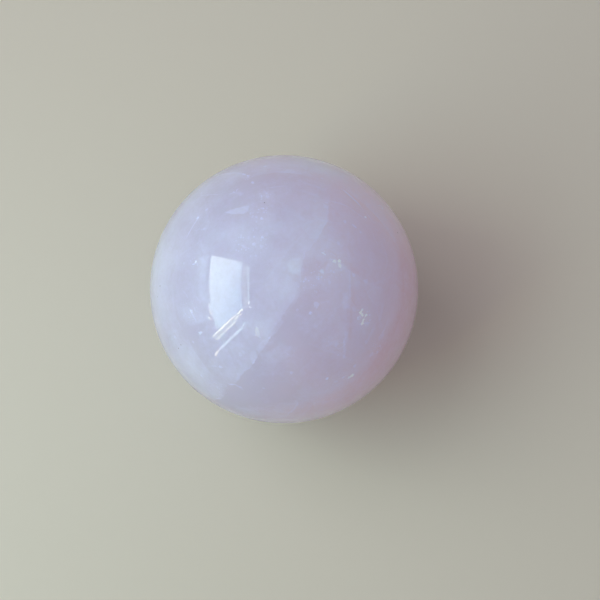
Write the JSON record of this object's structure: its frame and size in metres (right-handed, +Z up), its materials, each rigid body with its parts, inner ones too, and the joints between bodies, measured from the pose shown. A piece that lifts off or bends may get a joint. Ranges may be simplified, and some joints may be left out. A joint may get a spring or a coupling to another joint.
{
  "type": "rose quartz ball",
  "caption": "Polished ball of milky pink quartz with a small flat ground on its underside, so that it stands on a shelf or table without rolling.",
  "frame": {"origin": "middle of the small flat that the ball rests on", "axes": "+Z up through the ball's centre; +Y away from the picture's camera, +X to its right"},
  "size_m": [0.05, 0.05, 0.0495],
  "materials": {
    "rose_quartz": "polished"
  },
  "bodies": {
    "root": {"rose_quartz_ball": "rose_quartz"}
  },
  "joints": []
}
